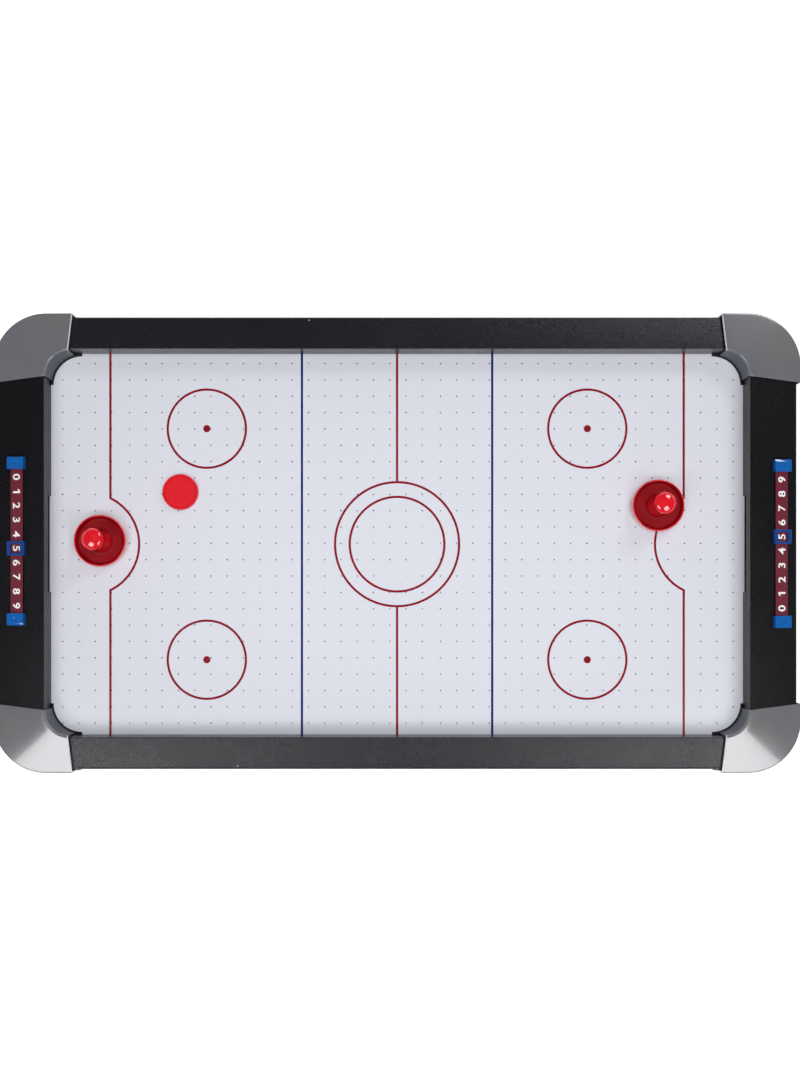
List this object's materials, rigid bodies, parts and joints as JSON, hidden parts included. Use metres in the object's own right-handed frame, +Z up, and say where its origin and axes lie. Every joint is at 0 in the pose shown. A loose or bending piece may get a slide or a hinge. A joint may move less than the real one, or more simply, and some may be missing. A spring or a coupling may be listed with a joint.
{
  "type": "tabletop air hockey game",
  "caption": "Tabletop air hockey game: white perforated rink in black rails with grey corner caps, end goals, sliding score counters, round red mallets and a flat puck.",
  "frame": {"origin": "on the standing surface, under the middle of the table", "axes": "+X along the table towards the right goal, +Y towards the back rail, +Z up"},
  "size_m": [0.918, 0.522, 0.126],
  "materials": {
    "surface_white": "glossy printed sheet",
    "base_board": "plain hardboard",
    "rail_black": "fine-grained black",
    "bracket_black": "moulded black",
    "cap_grey": "glossy grey moulding",
    "pad_rubber": "matt rubber",
    "screw_steel": "zinc plated",
    "strip_maroon": "printed strip",
    "counter_blue": "glossy blue",
    "mallet_red": "glossy red",
    "felt_black": "felt",
    "motor_copper": "lacquered winding",
    "wire_red": "soft insulation"
  },
  "bodies": {
    "table": {"playfield": "surface_white", "bottom_panel": "base_board", "side_rail_front": "rail_black", "side_rail_back": "rail_black", "end_rail_left": "rail_black", "end_rail_right": "rail_black", "corner_bracket_fl": "bracket_black", "corner_bracket_fr": "bracket_black", "corner_bracket_bl": "bracket_black", "corner_bracket_br": "bracket_black", "corner_cap_fl": "cap_grey", "corner_cap_fr": "cap_grey", "corner_cap_bl": "cap_grey", "corner_cap_br": "cap_grey", "foot_fl": "bracket_black", "foot_fr": "bracket_black", "foot_bl": "bracket_black", "foot_br": "bracket_black", "foot_pad_fl": "pad_rubber", "foot_pad_fr": "pad_rubber", "foot_pad_bl": "pad_rubber", "foot_pad_br": "pad_rubber", "corner_screws": "screw_steel", "support_posts": "rail_black", "post_screws": "screw_steel", "goal_box_left": "bracket_black", "goal_box_right": "bracket_black", "goal_box_screws": "screw_steel", "score_strip_left": "strip_maroon", "score_strip_right": "strip_maroon", "score_end_left_front": "counter_blue", "score_end_left_back": "counter_blue", "score_end_right_front": "counter_blue", "score_end_right_back": "counter_blue", "fan_housing": "bracket_black", "fan_motor": "motor_copper", "fan_grille": "bracket_black", "fan_screws": "screw_steel", "switch_bezel": "bracket_black", "power_jack": "bracket_black", "wiring": "wire_red"},
    "score_slider_left_body": {"score_slider_left": "counter_blue"},
    "score_slider_right_body": {"score_slider_right": "counter_blue"},
    "mallet_left_body": {"mallet_left": "mallet_red", "mallet_pad_left": "felt_black"},
    "mallet_right_body": {"mallet_right": "mallet_red", "mallet_pad_right": "felt_black"},
    "puck_body": {"puck": "mallet_red"},
    "fan_rotor_body": {"fan_rotor": "bracket_black"},
    "switch_rocker_body": {"switch_rocker": "bracket_black"}
  },
  "joints": [
    {"name": "score_slide_left", "type": "slide", "parent": "table", "child": "score_slider_left_body", "axis": [0, 1, 0], "range_m": [-0.0648, 0.081]},
    {"name": "score_slide_right", "type": "slide", "parent": "table", "child": "score_slider_right_body", "axis": [0, 1, 0], "range_m": [-0.081, 0.0648]},
    {"name": "mallet_slide_left", "type": "slide", "parent": "table", "child": "mallet_left_body", "axis": [0, 1, 0], "range_m": [-0.19, 0.182]},
    {"name": "mallet_slide_right", "type": "slide", "parent": "table", "child": "mallet_right_body", "axis": [0, 1, 0], "range_m": [-0.231, 0.141]},
    {"name": "puck_slide", "type": "slide", "parent": "table", "child": "puck_body", "axis": [1, 0, 0], "range_m": [-0.036, 0.495]},
    {"name": "fan_spin", "type": "hinge", "parent": "table", "child": "fan_rotor_body", "pos_m": [0, 0, 0.04], "axis": [0, 0, 1], "continuous": true},
    {"name": "power_rocker", "type": "hinge", "parent": "table", "child": "switch_rocker_body", "pos_m": [0.25, 0.254, 0.04], "axis": [1, 0, 0], "range_deg": [-14, 0]}
  ]
}
